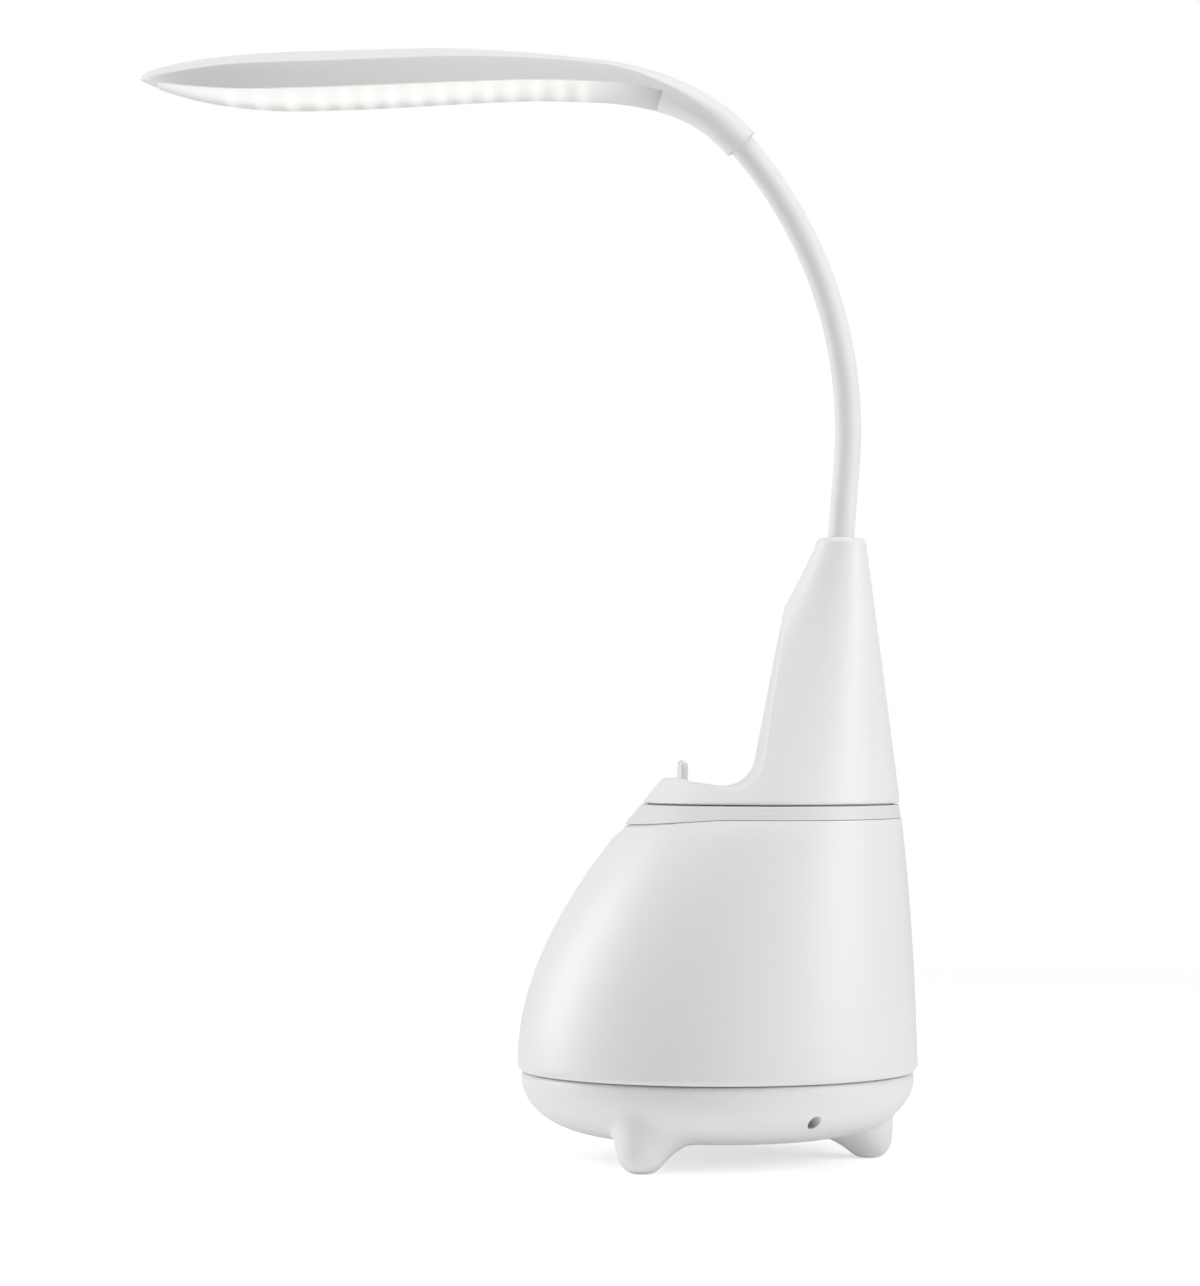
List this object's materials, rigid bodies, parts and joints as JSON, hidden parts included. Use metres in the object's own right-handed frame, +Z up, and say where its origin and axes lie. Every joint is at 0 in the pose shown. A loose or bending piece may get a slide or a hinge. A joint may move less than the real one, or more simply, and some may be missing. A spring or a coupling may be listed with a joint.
{
  "type": "desk lamp",
  "caption": "LED desk lamp: a long leaf-shaped head on a flexible neck, over a bell-shaped base with a phone rest in its tower and three rounded feet",
  "frame": {"origin": "on the table, under the centre of the base's round body", "axes": "+Z up, -X towards the front, the way the head reaches, Y across; the plane y = 0 is the symmetry plane of the housing and the head"},
  "size_m": [0.2393, 0.1228, 0.3409],
  "materials": {
    "white_plastic": "white satin moulded ABS",
    "trim_plastic": "very pale grey satin plastic",
    "white_silicone": "smooth white silicone",
    "milky_diffuser": "milky translucent polycarbonate, lit",
    "led": "LED packages, lit",
    "led_board": "white solder mask",
    "circuit_board": "green solder mask",
    "dark_plastic": "black moulded plastic",
    "cell_wrap": "shrink-wrapped steel cell",
    "lead": "white lead insulation",
    "steel": "zinc plated steel",
    "steel_hose": "wound steel hose",
    "ballast": "cut steel plate"
  },
  "bodies": {
    "root": {"base_pan": "white_plastic", "body_shell": "white_plastic", "trim_ring": "trim_plastic", "upper_shell": "white_plastic", "stop_pegs": "white_plastic", "pan_screws": "steel", "upper_screws": "steel", "ballast": "ballast", "ballast_screws": "steel", "battery_holder": "dark_plastic", "battery_cell": "cell_wrap", "main_board": "circuit_board", "board_chips": "dark_plastic", "board_screws": "steel", "dc_jack": "dark_plastic", "touch_board": "circuit_board", "neck_ferrule": "steel", "neck_nut": "steel", "neck_hose_root": "steel_hose", "neck_sleeve": "white_silicone", "led_lead": "lead"},
    "neck_01": {"neck_hose_01": "steel_hose"},
    "neck_02": {"neck_hose_02": "steel_hose"},
    "neck_03": {"neck_hose_03": "steel_hose"},
    "neck_04": {"neck_hose_04": "steel_hose"},
    "neck_05": {"neck_hose_05": "steel_hose"},
    "neck_06": {"neck_hose_06": "steel_hose"},
    "neck_07": {"neck_hose_07": "steel_hose"},
    "neck_08": {"neck_hose_08": "steel_hose"},
    "neck_09": {"neck_hose_09": "steel_hose"},
    "neck_10": {"neck_hose_10": "steel_hose"},
    "head": {"neck_hose_end": "steel_hose", "head_shell": "white_plastic", "head_diffuser": "milky_diffuser", "led_board": "led_board", "leds": "led", "led_board_screws": "steel"}
  },
  "joints": [
    {"name": "neck_bend_1", "type": "hinge", "parent": "root", "child": "neck_01", "pos_m": [0.03884, 0, 0.19837], "axis": [0, 1, 0], "range_deg": [-10, 10], "deforming": ["neck_sleeve", "led_lead"]},
    {"name": "neck_sway_1", "type": "hinge", "parent": "neck_01", "child": "neck_02", "pos_m": [0.03977, 0, 0.21014], "axis": [0.9969, 0, -0.0785], "range_deg": [-10, 10], "deforming": ["neck_sleeve", "led_lead"]},
    {"name": "neck_bend_2", "type": "hinge", "parent": "neck_02", "child": "neck_03", "pos_m": [0.04041, 0, 0.22192], "axis": [0, 1, 0], "range_deg": [-10, 10]},
    {"name": "neck_sway_2", "type": "hinge", "parent": "neck_03", "child": "neck_04", "pos_m": [0.04004, 0, 0.23371], "axis": [0.9972, 0, 0.0751], "range_deg": [-10, 10]},
    {"name": "neck_bend_3", "type": "hinge", "parent": "neck_04", "child": "neck_05", "pos_m": [0.03864, 0, 0.24542], "axis": [0, 1, 0], "range_deg": [-10, 10]},
    {"name": "neck_sway_3", "type": "hinge", "parent": "neck_05", "child": "neck_06", "pos_m": [0.03621, 0, 0.25696], "axis": [0.9686, 0, 0.2487], "range_deg": [-10, 10]},
    {"name": "neck_bend_4", "type": "hinge", "parent": "neck_06", "child": "neck_07", "pos_m": [0.03277, 0, 0.26825], "axis": [0, 1, 0], "range_deg": [-10, 10]},
    {"name": "neck_sway_4", "type": "hinge", "parent": "neck_07", "child": "neck_08", "pos_m": [0.02836, 0, 0.27919], "axis": [0.91, 0, 0.4145], "range_deg": [-10, 10]},
    {"name": "neck_bend_5", "type": "hinge", "parent": "neck_08", "child": "neck_09", "pos_m": [0.023, 0, 0.2897], "axis": [0, 1, 0], "range_deg": [-10, 10]},
    {"name": "neck_sway_5", "type": "hinge", "parent": "neck_09", "child": "neck_10", "pos_m": [0.01674, 0, 0.2997], "axis": [0.8233, 0, 0.5676], "range_deg": [-10, 10]},
    {"name": "neck_bend_6", "type": "hinge", "parent": "neck_10", "child": "head", "pos_m": [0.00963, 0, 0.3091], "axis": [0, 1, 0], "range_deg": [-10, 10]}
  ],
  "couplings": [
    {"joint": "neck_bend_2", "follows": "neck_bend_1", "ratio": 1},
    {"joint": "neck_sway_2", "follows": "neck_sway_1", "ratio": 1},
    {"joint": "neck_bend_3", "follows": "neck_bend_1", "ratio": 1},
    {"joint": "neck_sway_3", "follows": "neck_sway_1", "ratio": 1},
    {"joint": "neck_bend_4", "follows": "neck_bend_1", "ratio": 1},
    {"joint": "neck_sway_4", "follows": "neck_sway_1", "ratio": 1},
    {"joint": "neck_bend_5", "follows": "neck_bend_1", "ratio": 1},
    {"joint": "neck_sway_5", "follows": "neck_sway_1", "ratio": 1},
    {"joint": "neck_bend_6", "follows": "neck_bend_1", "ratio": 1}
  ]
}
